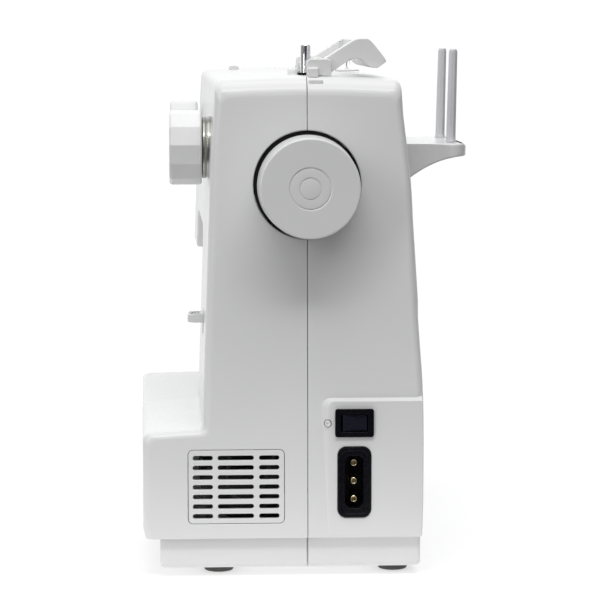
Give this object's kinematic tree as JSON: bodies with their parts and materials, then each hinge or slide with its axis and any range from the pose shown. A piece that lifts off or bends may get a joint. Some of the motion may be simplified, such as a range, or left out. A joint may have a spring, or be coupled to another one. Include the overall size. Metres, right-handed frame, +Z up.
{
  "type": "sewing machine",
  "caption": "Compact domestic free-arm sewing machine with handwheel, front accessory tray, folding carry handle and two upright spool pins.",
  "frame": {"origin": "centre of the bounding box's footprint, on the table plane under the rubber feet", "axes": "+Z up, +X to the handwheel end, -Y towards the operator, +Y to the back"},
  "size_m": [0.39, 0.1912, 0.3035],
  "materials": {
    "white_abs": "semi-gloss moulded ABS",
    "grey_plastic": "satin moulded",
    "black_plastic": "satin moulded",
    "dark_rubber": "matt",
    "brass": "polished",
    "chrome": "polished",
    "steel": "ground",
    "casting": "as cast",
    "lamp_glass": "frosted",
    "nylon": "satin moulded"
  },
  "bodies": {
    "root": {"front_cover": "white_abs", "rear_cover": "white_abs", "free_arm_cover": "white_abs", "base_pan": "white_abs", "chassis": "casting", "upper_bush_right": "brass", "upper_bush_left": "brass", "motor": "steel", "needle_plate": "steel", "vent_grille": "white_abs", "inlet_housing": "black_plastic", "inlet_pins": "brass", "switch_bezel": "black_plastic", "screw_plug": "white_abs", "foot_front_right": "dark_rubber", "foot_back_right": "dark_rubber", "foot_front_left": "dark_rubber", "foot_back_left": "dark_rubber", "spool_bracket": "white_abs", "spool_pin_right": "grey_plastic", "spool_pin_left": "grey_plastic", "handle_bracket_right": "grey_plastic", "handle_bracket_left": "grey_plastic", "thread_guide": "chrome", "head_thread_guide": "chrome", "lamp": "lamp_glass", "motor_belt": "dark_rubber", "timing_belt": "dark_rubber", "bobbin_case": "chrome"},
    "upper_drive": {"handwheel": "white_abs", "upper_shaft": "steel", "main_pulley": "nylon", "upper_timing_pulley": "nylon", "needle_crank": "steel"},
    "lower_drive": {"lower_shaft": "steel", "lower_timing_pulley": "nylon", "shuttle_hook": "steel"},
    "motor_rotor": {"motor_pulley": "nylon"},
    "needle_group": {"needle_bar": "chrome", "needle_clamp": "chrome", "needle": "chrome", "needle_link": "steel"},
    "presser_group": {"presser_bar": "chrome"},
    "presser_sole": {"presser_foot": "chrome"},
    "presser_lifter": {"presser_lever": "white_abs"},
    "take_up": {"take_up_lever": "chrome"},
    "feed_carrier": {"feed_bar": "steel"},
    "feed_teeth": {"feed_dog": "steel"},
    "bobbin_reel": {"bobbin": "nylon"},
    "arm_flap": {"shuttle_flap": "white_abs"},
    "head_cap": {"face_cover": "white_abs"},
    "rocker": {"switch_rocker": "black_plastic"},
    "pattern_knob": {"pattern_dial": "white_abs"},
    "tension_knob": {"tension_dial": "white_abs"},
    "reverse": {"reverse_lever": "white_abs"},
    "handle": {"carry_handle": "white_abs"},
    "winder_carriage": {"winder_sleeve": "grey_plastic"},
    "winder": {"winder_spindle": "chrome"},
    "tray": {"tray_box": "white_abs"},
    "lid": {"tray_lid": "white_abs"}
  },
  "joints": [
    {"name": "handwheel_spin", "type": "hinge", "parent": "root", "child": "upper_drive", "pos_m": [0.167, 0.00153, 0.222], "axis": [1, 0, 0], "continuous": true},
    {"name": "lower_shaft_spin", "type": "hinge", "parent": "root", "child": "lower_drive", "pos_m": [-0.033, 0.00153, 0.04], "axis": [1, 0, 0], "continuous": true},
    {"name": "motor_spin", "type": "hinge", "parent": "root", "child": "motor_rotor", "pos_m": [0.147, -0.03347, 0.052], "axis": [1, 0, 0], "continuous": true},
    {"name": "needle_bar_slide", "type": "slide", "parent": "root", "child": "needle_group", "axis": [0, 0, 1], "range_m": [-0.028, 0]},
    {"name": "presser_lever_lift", "type": "hinge", "parent": "root", "child": "presser_lifter", "pos_m": [-0.133, 0.03453, 0.172], "axis": [0, -1, 0], "range_deg": [0, 45]},
    {"name": "presser_bar_slide", "type": "slide", "parent": "root", "child": "presser_group", "axis": [0, 0, 1], "range_m": [0, 0.006]},
    {"name": "presser_foot_tilt", "type": "hinge", "parent": "presser_group", "child": "presser_sole", "pos_m": [-0.151, 0.01053, 0.077], "axis": [1, 0, 0], "range_deg": [-15, 1]},
    {"name": "take_up_swing", "type": "hinge", "parent": "root", "child": "take_up", "pos_m": [-0.161, -0.02047, 0.215], "axis": [1, 0, 0], "range_deg": [0, 30]},
    {"name": "feed_bar_travel", "type": "slide", "parent": "root", "child": "feed_carrier", "axis": [0, 1, 0], "range_m": [-0.002, 0.002]},
    {"name": "feed_dog_drop", "type": "slide", "parent": "feed_carrier", "child": "feed_teeth", "axis": [0, 0, 1], "range_m": [-0.0015, 0]},
    {"name": "bobbin_spin", "type": "hinge", "parent": "root", "child": "bobbin_reel", "pos_m": [-0.165, 0.00153, 0.04], "axis": [1, 0, 0], "continuous": true},
    {"name": "shuttle_flap_open", "type": "hinge", "parent": "root", "child": "arm_flap", "pos_m": [-0.17715, 0.01603, 0.0235], "axis": [0, -1, 0], "range_deg": [0, 90]},
    {"name": "face_cover_open", "type": "hinge", "parent": "root", "child": "head_cap", "pos_m": [-0.17115, 0.06373, 0.22], "axis": [0, 0, -1], "range_deg": [0, 110]},
    {"name": "switch_rock", "type": "hinge", "parent": "root", "child": "rocker", "pos_m": [0.166, 0.02768, 0.0884], "axis": [0, 0, 1], "range_deg": [-16, 0]},
    {"name": "pattern_dial_turn", "type": "hinge", "parent": "root", "child": "pattern_knob", "pos_m": [0.112, -0.05847, 0.241], "axis": [0, 1, 0], "continuous": true},
    {"name": "tension_dial_turn", "type": "hinge", "parent": "root", "child": "tension_knob", "pos_m": [-0.123, -0.05847, 0.244], "axis": [0, 1, 0], "range_deg": [-150, 150]},
    {"name": "reverse_lever_press", "type": "hinge", "parent": "root", "child": "reverse", "pos_m": [0.112, -0.02847, 0.1427], "axis": [1, 0, 0], "range_deg": [0, 12], "stiffness_Nm_per_rad": 0.4},
    {"name": "handle_fold", "type": "hinge", "parent": "root", "child": "handle", "pos_m": [0.079, 0.00893, 0.2877], "axis": [1, 0, 0], "range_deg": [0, 70]},
    {"name": "winder_shift", "type": "slide", "parent": "root", "child": "winder_carriage", "axis": [1, 0, 0], "range_m": [0, 0.005]},
    {"name": "winder_spin", "type": "hinge", "parent": "winder_carriage", "child": "winder", "pos_m": [0.107, 0.00313, 0.27], "axis": [0, 0, 1], "continuous": true},
    {"name": "tray_slide", "type": "slide", "parent": "root", "child": "tray", "axis": [-1, 0, 0], "range_m": [0, 0.12]},
    {"name": "tray_lid_open", "type": "hinge", "parent": "tray", "child": "lid", "pos_m": [-0.073, -0.03267, 0.0679], "axis": [-1, 0, 0], "range_deg": [0, 95]}
  ],
  "couplings": [
    {"joint": "lower_shaft_spin", "follows": "handwheel_spin", "ratio": 2},
    {"joint": "motor_spin", "follows": "handwheel_spin", "ratio": 3.3333},
    {"joint": "presser_lever_lift", "follows": "presser_bar_slide", "rad_per_m": 130.9}
  ]
}
